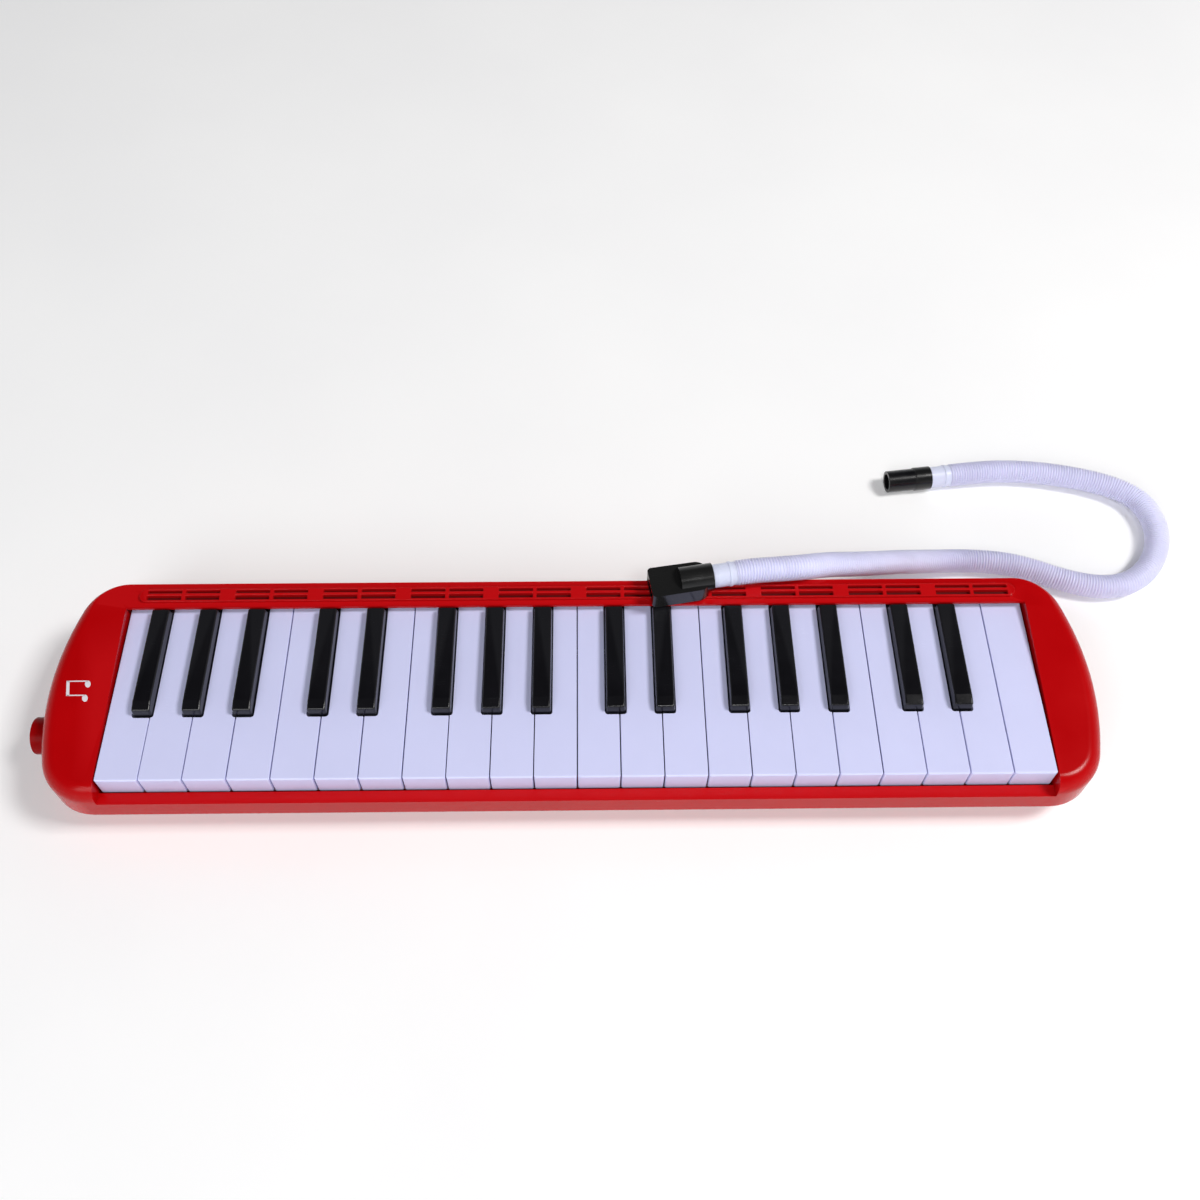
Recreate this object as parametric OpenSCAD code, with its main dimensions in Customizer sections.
// 37-key melodica with a loose blow tube lying across its rear strip.
// The design is drawn with X = 0 at the middle of the keyboard, Y = 0 at the
// fronts of the white keys and Z = 0 on the white key tops, and place() then
// stands it on its feet with the origin under the middle of the casing.

/* [Keyboard] */
// Pitch of the white keys
white_pitch = 19.6; // [19.2:0.1:20]
// Gap between neighbouring white keys
key_gap = 0.5; // [0.4:0.1:0.8]
// Height of a white key's front wall
white_front_h = 12.2; // [11.4:0.1:12.4]
// Width of a black key at its foot
black_w = 9.1; // [8.8:0.1:9.2]
// Height of a black key above the white keys
black_h = 5.3; // [5.0:0.1:5.5]
// Y of the black keys' noses
black_y = 32.3; // [31.8:0.1:33.5]
// Front travel of a key
key_travel = 4.0; // [3.5:0.1:4]

/* [Casing] */
// Length of the casing to the left of the keyboard's middle
case_left = 247; // [246.5:0.5:248]
// Length of the casing to the right of the keyboard's middle
case_right = 243; // [242.5:0.5:244]
// Radius of the bulged ends
end_r = 134; // [130:1:138]
// Y of the front face
case_y0 = -6.5; // [-7:0.1:-6.2]
// Y of the rear face
case_y1 = 103.5; // [103.2:0.1:105]
// Radius of the plan corners
corner_r = 23.5; // [22:0.5:25]
// Level of the rim in front of the keys
rim_z = -11; // [-11.2:0.1:-10.6]
// Level of the rear strip
strip_z = 4.8; // [4.6:0.1:5.2]
// Front edge of the rear strip
strip_y = 88.25; // [88:0.25:89]
// Level of the end plates at the front
plate_z = -1.4; // [-1.8:0.1:-0.8]
// Wall thickness of the casing shells
wall = 2; // [1.8:0.1:2.2]
// Depth of the casing's flat bottom below the white key tops
bottom_z = -36; // [-36.4:0.1:-36]
// Height of the sound ridge above the rear strip
ridge_h = 1.5; // [1.2:0.1:1.5]

/* [Action] */
// Y of the key axle
axle_y = 70; // [69.5:0.5:70.5]
// Depth of the key axle
axle_z = -9; // [-9.2:0.1:-9]
// Radius of the key axle
axle_r = 1.25; // [1.2:0.01:1.27]
// Radius of the bores in the keys and axle posts
axle_bore_r = 1.3; // [1.3:0.01:1.32]

/* [Blow tube] */
// Outer diameter of the corrugated hose
hose_d = 12.6; // [12:0.1:12.6]
// Radius of the blow inlet's bore
inlet_bore_r = 6; // [6:0.05:6.2]
// Radius of the connector's spigot
spigot_r = 5.9; // [5.7:0.05:5.9]

/* [Hidden] */
$fn = 48;
x_off = 4.25;
y_off = -48.5;
z_off = 37.5;
kb = 11 * white_pitch;
parting = -22;
inlet_y = 32.5;
inlet_z = -19;
drain_y = 48;
drain_z = -27;
slot_w = black_w + 0.8;
nose_r = 1.3;
bulge_y = 43.2;
key_rear = 98;
cap_rear = 87.6;
crest_y = strip_y - 3;
front_angle = 9.5;
front_r = 0.9;
tail_angle = 187;
neck = [65, 98.6, 13.1];

// Black key centres within one octave that starts on F, in white pitches
BLACKS = [0.823, 1.992, 3.163, 4.908, 6.073];
// Which of them bites into the left and right side of F G A B C D E
BITE_L = [-1, 0, 1, 2, -1, 3, 4];
BITE_R = [0, 1, 2, -1, 3, 4, -1];

function black_x(b) = -kb + (7 * floor(b / 5) + BLACKS[b % 5]) * white_pitch;
function left_of(i) = BITE_L[i % 7] < 0 ? -kb + i * white_pitch + key_gap / 2
    : black_x(5 * floor(i / 7) + BITE_L[i % 7]) + slot_w / 2;
function right_of(i) = (BITE_R[i % 7] < 0 || i == 21) ? -kb + (i + 1) * white_pitch - key_gap / 2
    : black_x(5 * floor(i / 7) + BITE_R[i % 7]) - slot_w / 2;
function white_c(i) = (left_of(i) + right_of(i)) / 2;
// Centres of all 37 levers, whites first
LEVERS = concat([for (i = [0:21]) white_c(i)], [for (b = [0:14]) black_x(b)]);
// Axle posts stand between levers
POSTS = concat([for (k = [0:2]) -kb + (7 * k + 0.577) * white_pitch],
    [for (k = [0:2]) -kb + (7 * k + 4.608) * white_pitch], [-kb + 21.09 * white_pitch]);

// Centre line of the hose, from its cuff on the mouthpiece to its cuff on the connector
ROUTE = [
    [76.2, 100.5, 13.1], [82, 101.4, 13.1], [88, 102.2, 12.9], [99.4, 103.6, 12], [111.4, 106.1, 9.8],
    [123.2, 110.6, 4.9], [136, 114.8, -0.8], [149.6, 119.9, -7.6], [163, 125.6, -15], [176, 131, -22.5],
    [189, 135.4, -28.6], [202, 137.3, -31.1], [215, 136.7, -31.2], [228, 134.6, -31.2], [240, 130.6, -31.2],
    [251, 125.9, -31.2], [262, 122.2, -31.2], [273, 120.4, -31.2], [284, 121.6, -31.2], [294, 126.6, -31.2],
    [302, 134.6, -31.2], [307.6, 144.6, -31.2], [310.4, 155.6, -31.2], [309.6, 167, -31.2], [305, 177, -31.2],
    [296.6, 184, -31.2], [286, 188.8, -31.2], [274, 192.4, -31.2], [260, 195.3, -31.2], [246, 197, -31.2],
    [232, 197.4, -31.2], [218, 196.4, -31.2], [205, 194.8, -31.2]];

WHITE = ["F3", "G3", "A3", "B3", "C4", "D4", "E4", "F4", "G4", "A4", "B4", "C5", "D5", "E5", "F5", "G5",
    "A5", "B5", "C6", "D6", "E6", "F6"];
BLACK = ["Fs3", "Gs3", "As3", "Cs4", "Ds4", "Fs4", "Gs4", "As4", "Cs5", "Ds5", "Fs5", "Gs5", "As5", "Cs6", "Ds6"];

module place() { translate([x_off, y_off, z_off]) children(); }
// A cylinder along +X from x, centred on (y, z)
module rod(x, y, z, r, len) { translate([x, y, z]) rotate([0, 90, 0]) cylinder(r = r, h = len); }
// A YZ profile carried along X from x
module along_x(x, len) { translate([x, 0, 0]) rotate([90, 0, 90]) linear_extrude(len) children(); }

// ---- casing -------------------------------------------------------------

// One end of the plan outline, front to rear: a corner arc, the bulged end arc and a corner arc,
// each tangent to the next. The outline is drawn in by ix at the end, fy in front and ry behind
function end_pts(hl, ix, fy, ry) =
    let (cx = hl - end_r - ix, cy = bulge_y,
        rf = corner_r - (ix + fy) / 2, rr = corner_r - 1 - (ix + ry) / 2,
        y0 = case_y0 + fy + rf, y1 = case_y1 - ry - rr,
        xf = cx + sqrt(pow(end_r - rf, 2) - pow(cy - y0, 2)), af = atan2(y0 - cy, xf - cx),
        xr = cx + sqrt(pow(end_r - rr, 2) - pow(y1 - cy, 2)), ar = atan2(y1 - cy, xr - cx))
    concat(
        [for (k = [0:8]) let (a = -90 + (af + 90) * k / 8) [xf + rf * cos(a), y0 + rf * sin(a)]],
        [for (k = [1:7]) let (a = af + (ar - af) * k / 8) [cx + end_r * cos(a), cy + end_r * sin(a)]],
        [for (k = [0:8]) let (a = ar + (90 - ar) * k / 8) [xr + rr * cos(a), y1 + rr * sin(a)]]);
// The whole outline as a ring that reaches level z at crest_y and leans by slope in front of and behind it
function level(ix, fy, ry, z, slope = 0) =
    let (e = end_pts(case_right, ix, fy, ry), w = end_pts(case_left, ix, fy, ry), n = len(w))
    [for (p = concat(e, [for (k = [n - 1:-1:0]) [-w[k][0], w[k][1]]])) [p[0], p[1], z + slope * (p[1] - crest_y)]];

// Skins a stack of rings that all have the same number of points
module skin(rings) {
    m = len(rings);
    n = len(rings[0]);
    polyhedron(points = [for (r = rings) each r], convexity = 10, faces = concat(
        [[for (k = [0:n - 1]) k]],
        [for (i = [0:m - 2], k = [0:n - 1]) [i * n + k, (i + 1) * n + k, (i + 1) * n + (k + 1) % n]],
        [for (i = [0:m - 2], k = [0:n - 1]) [i * n + k, (i + 1) * n + (k + 1) % n, i * n + (k + 1) % n]],
        [[for (k = [n - 1:-1:0]) (m - 1) * n + k]]));
}

// Crowned upper body: straight to the shoulder, then an 8 mm round at the ends and in front,
// closing on a 3 mm one behind
module upper_form(d, z0, roof) {
    slope = (strip_z - plate_z) / (crest_y - case_y0);
    skin(concat([level(d, d, d, z0)],
        [for (a = [0, 22.5, 45, 67.5, 90])
            let (c = 1 - cos(a)) level(d + 8 * c, d + 7 * c, d + 3 * c, roof - 8 * (1 - sin(a)), slope)]));
}

module sound_windows() {
    for (k = [0:9], w = [0, 1], row = [[92, 2.4], [95.8, 1.7]])
        translate([-207 + 42.3 * k + 18.3 * w, row[0], strip_z - 4]) cube([16.5, row[1], 8]);
}

module upper_case() {
    boss_at = [[-224, 16, -1], [224, 16, -1], [-224, 80, 3], [224, 80, 3]];
    color([0.72, 0.03, 0.05]) place() difference() {
        union() {
            intersection() {
                upper_form(0, parting, strip_z);
                translate([-300, -50, parting - 1]) cube([600, 200, strip_z - parting + 1]);
            }
            // the ridge that carries the sound windows
            translate([0, 94.75, strip_z - 1]) linear_extrude(ridge_h + 1)
                offset(r = 3.6) square([2 * 207.4, 0.3], center = true);
        }
        // the hollow, which leaves the sides of the key bed, the lip behind the rim and the screw bosses
        difference() {
            intersection() {
                upper_form(wall, parting - 2, strip_z - 1.5);
                translate([-300, -50, parting - 3]) cube([600, 200, strip_z - 1.5 - parting + 3]);
            }
            for (s = [-1, 1]) translate([s > 0 ? kb + 0.7 : -kb - 0.7 - wall, -40, -14]) cube([wall, 180, 40]);
            translate([-kb - 2, -40, rim_z - wall]) cube([2 * kb + 4, 45, wall + 1]);
            for (b = boss_at) translate([b[0], b[1], parting - 5]) cylinder(r = 4, h = b[2] - parting + 8);
        }
        // the key bed, open to the front above the rim
        translate([-kb - 0.7, -0.8, parting - 1]) cube([2 * kb + 1.4, strip_y + 0.8, 60]);
        translate([-kb - 0.7, -20, rim_z]) cube([2 * kb + 1.4, 60, 60]);
        // the bosses end at the parting line
        for (b = boss_at) {
            translate([b[0], b[1], -24]) cylinder(r = 1.35, h = 13);
        }
        sound_windows();
        rod(-260, inlet_y, inlet_z, 8.8, 30);
    }
}

// Lower body: tapers in to the flat bottom, more in front and at the ends than behind
module lower_form(d, z1) {
    skin([level(d + 8.8, d + 8.8, d + 3.8, bottom_z + d), level(d + 7.4, d + 7.4, d + 2.4, bottom_z + d + 0.6),
        level(d + 6.6, d + 6.6, d + 1.8, bottom_z + d + 1.8), level(d, d, d, z1)]);
}

module lower_case() {
    end_at = [[-224, 16], [224, 16], [-224, 80], [224, 80]];
    front_at = [[-110, 8], [0, 8], [110, 8]];
    color([0.72, 0.03, 0.05]) place() difference() {
        union() {
            difference() {
                lower_form(0, parting - 0.05);
                lower_form(wall, parting + 1);
            }
            for (b = end_at) translate([b[0], b[1], bottom_z + 1]) cylinder(r = 4, h = parting - 0.05 - bottom_z - 1);
            for (b = front_at) translate([b[0], b[1], bottom_z + 1]) cylinder(r = 3.8, h = 13.5);
        }
        for (b = concat(end_at, front_at)) {
            translate([b[0], b[1], bottom_z - 1]) cylinder(r = 1.6, h = 30);
            translate([b[0], b[1], bottom_z - 1]) cylinder(r = 3.2, h = 3.2);
        }
        for (x = [-195, 195], y = [14, 87]) translate([x, y, bottom_z - 1]) cylinder(r = 6.6, h = 2);
        rod(-260, inlet_y, inlet_z, 8.8, 30);
        rod(232, drain_y, drain_z, 4.7, 20);
    }
}

module rubber_feet() {
    color([0.08, 0.08, 0.09]) place()
        for (x = [-195, 195], y = [14, 87]) translate([x, y, -z_off])
            cylinder(r = 6.5, h = z_off + bottom_z + 0.95);
}

module screws() {
    color([0.7, 0.71, 0.74]) place() {
        for (x = [-224, 224], y = [16, 80]) screw(x, y, 22);
        for (x = [-110, 0, 110]) screw(x, 8, 15);
    }
}

// Pan-head self-tapping screw standing head down, with a cross recess
module screw(x, y, len) {
    translate([x, y, bottom_z + 0.1]) difference() {
        union() {
            cylinder(r = 2.9, h = 2);
            cylinder(r = 1.3, h = len + 2);
        }
        translate([-1.7, -0.35, -1]) cube([3.4, 0.7, 1.9]);
        translate([-0.35, -1.7, -1]) cube([0.7, 3.4, 1.9]);
    }
}

module hand_strap() {
    color([0.06, 0.06, 0.07]) place()
        translate([-62, 37, bottom_z - 1.1]) cube([124, 24, 1.05]);
}

// ---- wind chest ---------------------------------------------------------

module wind_chest() {
    z0 = bottom_z + wall + 0.05;
    color([0.16, 0.16, 0.18]) place() difference() {
        union() {
            translate([-216, 14, z0]) cube([432, 83.3, -22.2 - z0]);
            translate([-230, 22, z0]) cube([15, 21, -22.2 - z0]);
            translate([-230, 22, -24]) cube([11.4, 21, 13.5]);
        }
        translate([-214, 16, z0 + 1.5]) cube([428, 80, 20]);
        translate([-228, 24, z0 + 1.5]) cube([16, 17, 8.3]);
        translate([-228, 24, z0 + 1.5]) cube([7.8, 17, 20]);
        rod(-235, inlet_y, inlet_z, 7.55, 10);
        rod(210, drain_y, drain_z, 1.55, 10);
        for (a = [0:120:240]) rod(210, drain_y + 2.4 * cos(a), drain_z + 2.4 * sin(a), 0.6, 10);
    }
}

module chest_gasket() {
    color([0.32, 0.32, 0.34]) place() translate([0, 0, -22.15]) linear_extrude(0.7) difference() {
        translate([-216, 14]) square([432, 83.3]);
        translate([-213.2, 16.8]) square([426.4, 78.4]);
    }
}

// Cell block: one reed cell under every lever, each with its pad hole, and the axle posts
module chest_cover() {
    color([0.2, 0.2, 0.22]) place() difference() {
        union() {
            translate([-215.4, 2.2, -21.4]) cube([430.8, 95.8, 2]);
            translate([-215.4, 57, -21.4]) cube([430.8, 41, 8.4]);
            translate([-214, 2.5, -21.4]) cube([428, 6.5, 3.2]);
            for (x = POSTS) translate([x - 0.8, axle_y - 3, -14]) cube([1.6, 6, 7.8]);
        }
        for (x = LEVERS) {
            translate([x - 4.1, 59.5, -22]) cube([8.2, 37.3, 7.5]);
            translate([x - 2.6, 93.4, -16]) cube([5.2, 3, 4]);
        }
        rod(-230, axle_y, axle_z, axle_bore_r, 460);
        for (x = [-110, 0, 110]) translate([x, 8, -24]) cylinder(r = 1.35, h = 5.2);
    }
}

// Reed slot length, from the lowest reed at the left to the highest at the right
function reed_len(x) = 29 - 15 * (x + kb) / (2 * kb);

module reed_plate(x0, x1) {
    color([0.72, 0.6, 0.32]) place() difference() {
        translate([x0, 58.5, -22.85]) cube([x1 - x0, 36.4, 1.35]);
        for (x = LEVERS) if (x > x0 && x < x1)
            translate([x - 1.3, 62, -24]) cube([2.6, reed_len(x), 4]);
    }
}
module reed_plate_low() { reed_plate(-212.6, -0.3); }
module reed_plate_high() { reed_plate(0.3, 212.6); }

module reed_tongues() {
    color([0.82, 0.7, 0.4]) place() for (x = LEVERS)
        translate([x - 1.15, 59.4, -23.2]) cube([2.3, reed_len(x) + 2.2, 0.3]);
}

// ---- action -------------------------------------------------------------

module key_axle() {
    color([0.75, 0.76, 0.78]) place() rod(-214.5, axle_y, axle_z, axle_r, 429);
}

// Leaf springs that push each lever's front up
module key_springs() {
    color([0.8, 0.72, 0.5]) place() for (x = LEVERS)
        along_x(x - 1.5, 3) polygon([[57.6, -12.95], [60.4, -12.95], [65.9, -8.2], [65.6, -7.9], [60.2, -12.55], [57.6, -12.55]]);
}

module key_felts() {
    color([0.75, 0.1, 0.12]) place() translate([-213, 3, -18.15]) cube([426, 5.5, 1.75]);
}

// Web, hub, bore and pad arm shared by every key, centred on x
module lever_inside(x, y0) {
    translate([x - 1.5, y0, -7.6]) cube([3, 96 - y0, 6.4]);
    rod(x - 3.2, axle_y, axle_z, 3, 6.4);
    translate([x - 3.2, axle_y - 3, axle_z]) cube([6.4, 6, 7]);
    translate([x - 3.4, 92, -10.9]) cube([6.8, 5.4, 9.5]);
}
module lever_bore(x) { rod(x - 10, axle_y, axle_z, axle_bore_r, 20); }
module pad(x) { translate([x - 3.9, 91.7, -12.95]) cube([7.8, 6, 2]); }

module white_key(i) {
    x0 = -kb + i * white_pitch + key_gap / 2;
    w = white_pitch - key_gap;
    l = left_of(i);
    r = right_of(i);
    c = white_c(i);
    yb = black_y - 0.7;
    color([0.86, 0.87, 0.97]) place() {
        difference() {
            union() {
                difference() {
                    union() {
                        translate([x0, 0, -5.5]) cube([w, yb, 5.5]);
                        translate([x0, 0, -white_front_h]) cube([w, 2, white_front_h]);
                        translate([l, yb - 5, -5.5]) cube([r - l, key_rear - yb + 5, 5.5]);
                    }
                    translate([x0 + 1.4, 2, -8]) cube([w - 2.8, yb - 3.4, 6]);
                    translate([l + 1.4, yb - 3, -8]) cube([r - l - 2.8, key_rear - yb + 1.6, 6]);
                }
                lever_inside(c, 1);
                // the plate's notch round a black key's nose has rounded corners
                if (l > x0 + 1) nook(l, yb, -1);
                if (r < x0 + w - 1) nook(r, yb, 1);
            }
            // rounded front: the top edge, then the two upright corners
            along_x(x0 - 1, w + 2) difference() {
                translate([-0.2, -front_r]) square([front_r + 0.2, front_r + 0.2]);
                translate([front_r, -front_r]) circle(r = front_r);
            }
            for (s = [0, 1]) translate([s ? x0 + w : x0, 0, -white_front_h - 1]) mirror([s, 0, 0])
                linear_extrude(white_front_h + 2) difference() {
                    translate([-0.2, -0.2]) square([front_r + 0.2, front_r + 0.2]);
                    translate([front_r, front_r]) circle(r = front_r);
                }
            lever_bore(c);
        }
        pad(c);
    }
}
module nook(x, y, s) {
    translate([x - s * 0.3, y - 0.3, -5.5]) mirror([s < 0 ? 1 : 0, 0, 0]) linear_extrude(5.5) difference() {
        square(nose_r + 0.3);
        translate([nose_r + 0.3, nose_r + 0.3]) circle(r = nose_r);
    }
}

// One rounded corner of a cap: a ball of radius r whose top is at z, drawn in from the foot's side by d
module cap_ball(c, s, r, y, z, d) {
    translate([c + s * (black_w / 2 - d - r), y, z - r]) sphere(r = r, $fn = 16);
}
module black_key(b) {
    c = black_x(b);
    color([0.07, 0.07, 0.09]) place() {
        difference() {
            union() {
                // cap: rounded all along its edges, with a steep nose and a short slope above it
                hull() {
                    for (s = [-1, 1]) {
                        translate([c + s * (black_w / 2 - nose_r), black_y + nose_r, -1]) cylinder(r = nose_r, h = 1.5, $fn = 24);
                        cap_ball(c, s, 0.95, black_y + 1.5, black_h - 0.85, 0.25);
                        cap_ball(c, s, 0.8, black_y + 5.4, black_h, 0.35);
                        cap_ball(c, s, 0.8, cap_rear - 0.8, black_h - 0.5, 0.35);
                    }
                    translate([c - black_w / 2, cap_rear - 1, -1]) cube([black_w, 1, 1.5]);
                }
                difference() {
                    translate([0, 0, -5.5]) linear_extrude(5.5) {
                        translate([c - black_w / 2, black_y + nose_r]) square([black_w, key_rear - black_y - nose_r]);
                        translate([c - black_w / 2 + nose_r, black_y]) square([black_w - 2 * nose_r, nose_r + 1]);
                        for (s = [-1, 1]) translate([c + s * (black_w / 2 - nose_r), black_y + nose_r]) circle(r = nose_r);
                    }
                    translate([c - black_w / 2 + 1.4, black_y + 1.6, -8]) cube([black_w - 2.8, key_rear - black_y - 3, 7]);
                }
                translate([c - black_w / 2, cap_rear - 3, -1]) cube([black_w, key_rear - cap_rear + 3, 2]);
                lever_inside(c, black_y + 1);
            }
            lever_bore(c);
        }
        pad(c);
    }
}

// ---- air inlet and water key ---------------------------------------------

module blow_inlet() {
    color([0.7, 0.03, 0.05]) place() difference() {
        union() {
            rod(-254.5, inlet_y, inlet_z, 8.75, 14.5);
            rod(-240.2, inlet_y, inlet_z, 10.4, 1.6);
            rod(-240, inlet_y, inlet_z, 7.5, 12.5);
        }
        rod(-256, inlet_y, inlet_z, inlet_bore_r, 40);
    }
}

module inlet_seal() {
    color([0.1, 0.1, 0.11]) place() difference() {
        rod(-238.55, inlet_y, inlet_z, 9.4, 8.5);
        rod(-240, inlet_y, inlet_z, 7.55, 12);
    }
}

module drain_button() {
    color([0.7, 0.03, 0.05]) place() {
        rod(232.5, drain_y, drain_z, 4.6, 13.5);
        rod(232, drain_y, drain_z, 5.2, 1.5);
        rod(211.3, drain_y, drain_z, 1.5, 22);
        rod(211.3, drain_y, drain_z, 3.2, 1.55);
    }
}

module drain_seal() {
    color([0.1, 0.1, 0.11]) place() difference() {
        rod(212.9, drain_y, drain_z, 3.2, 1.05);
        rod(212, drain_y, drain_z, 1.55, 4);
    }
}

// Sweeps a ring of n sides and radius rr along points p
function unit(v) = v / norm(v);
function at(p, i) = p[max(0, min(len(p) - 1, i))];
function ring(p, i, rr, n) =
    let (t = unit(at(p, i + 1) - at(p, i - 1)),
        ref = abs(t[0]) > 0.95 && abs(t[2]) < 0.5 ? [0, 0, 1] : [0, 0, 1],
        s = unit(cross(t, ref)), u = cross(s, t))
    [for (k = [0:n - 1]) p[i] + rr * (cos(360 * (k + 0.5) / n) * s + sin(360 * (k + 0.5) / n) * u)];
module sweep(p, rr, n) {
    m = len(p);
    pts = [for (i = [0:m - 1]) each ring(p, i, rr, n)];
    polyhedron(points = pts, convexity = 10, faces = concat(
        [[for (k = [0:n - 1]) k]],
        [for (i = [0:m - 2], k = [0:n - 1]) [i * n + k, (i + 1) * n + k, (i + 1) * n + (k + 1) % n]],
        [for (i = [0:m - 2], k = [0:n - 1]) [i * n + k, (i + 1) * n + (k + 1) % n, i * n + (k + 1) % n]],
        [[for (k = [n - 1:-1:0]) (m - 1) * n + k]]));
}

module drain_spring() {
    turns = 7;
    color([0.75, 0.76, 0.78]) place()
        sweep([for (i = [0:16 * turns]) [216.6 + 14.9 * i / (16 * turns), drain_y + 3 * cos(22.5 * i), drain_z + 3 * sin(22.5 * i)]], 0.35, 6);
}

// ---- blow tube ------------------------------------------------------------

// Places children with +X running away from the lip, from the neck's end
module from_neck() { translate(neck) rotate([0, 0, front_angle]) children(); }

module mouthpiece() {
    color([0.05, 0.05, 0.06]) place() from_neck() difference() {
        union() {
            // flat lip block, blunt at the lip and rounded where the round neck comes out
            translate([0, 0, -6.7]) linear_extrude(9) hull() for (y = [-1, 1]) {
                translate([-28.4, y * 6.5]) circle(r = 2);
                translate([-7.6, y * 2.3]) circle(r = 6);
            }
            rod(-16, 0, 0, 6.7, 16);
        }
        rod(-12, 0, 0, 5, 13);
        rod(-20, 0, 0, 2, 10);
        translate([-31, -5.5, -4.2]) cube([20, 11, 3.6]);
    }
}

module hose_cuffs() {
    color([0.9, 0.9, 0.97]) place() {
        from_neck() difference() {
            union() {
                rod(-11, 0, 0, 4.9, 22.3);
                rod(0.05, 0, 0, 5.7, 11.25);
                rod(8, 0, 0, 6.1, 1.4);
            }
            rod(-20, 0, 0, 4, 60);
        }
        translate(ROUTE[len(ROUTE) - 1]) rotate([0, 0, tail_angle]) difference() {
            union() {
                rod(0.05, 0, 0, 5.7, 11);
                rod(2, 0, 0, 6.1, 1.4);
            }
            rod(-20, 0, 0, 4, 60);
        }
    }
}

module blow_hose() {
    color([0.88, 0.88, 0.97]) place() sweep(ROUTE, hose_d / 2, 12);
}

module hose_connector() {
    color([0.05, 0.05, 0.06]) place() translate(ROUTE[len(ROUTE) - 1]) rotate([0, 0, tail_angle]) difference() {
        union() {
            rod(11.1, 0, 0, 6.3, 9);
            rod(11.1, 0, 0, spigot_r, 24);
        }
        rod(0, 0, 0, 4.2, 60);
    }
}

upper_case();
lower_case();
wind_chest();
chest_cover();
chest_gasket();
reed_plate_low();
reed_plate_high();
reed_tongues();
key_axle();
key_springs();
key_felts();
blow_inlet();
inlet_seal();
drain_button();
drain_spring();
drain_seal();
screws();
rubber_feet();
hand_strap();
mouthpiece();
blow_hose();
hose_cuffs();
hose_connector();
white_key(0);  // white_key_F3
white_key(1);  // white_key_G3
white_key(2);  // white_key_A3
white_key(3);  // white_key_B3
white_key(4);  // white_key_C4
white_key(5);  // white_key_D4
white_key(6);  // white_key_E4
white_key(7);  // white_key_F4
white_key(8);  // white_key_G4
white_key(9);  // white_key_A4
white_key(10);  // white_key_B4
white_key(11);  // white_key_C5
white_key(12);  // white_key_D5
white_key(13);  // white_key_E5
white_key(14);  // white_key_F5
white_key(15);  // white_key_G5
white_key(16);  // white_key_A5
white_key(17);  // white_key_B5
white_key(18);  // white_key_C6
white_key(19);  // white_key_D6
white_key(20);  // white_key_E6
white_key(21);  // white_key_F6
black_key(0);  // black_key_Fs3
black_key(1);  // black_key_Gs3
black_key(2);  // black_key_As3
black_key(3);  // black_key_Cs4
black_key(4);  // black_key_Ds4
black_key(5);  // black_key_Fs4
black_key(6);  // black_key_Gs4
black_key(7);  // black_key_As4
black_key(8);  // black_key_Cs5
black_key(9);  // black_key_Ds5
black_key(10);  // black_key_Fs5
black_key(11);  // black_key_Gs5
black_key(12);  // black_key_As5
black_key(13);  // black_key_Cs6
black_key(14);  // black_key_Ds6
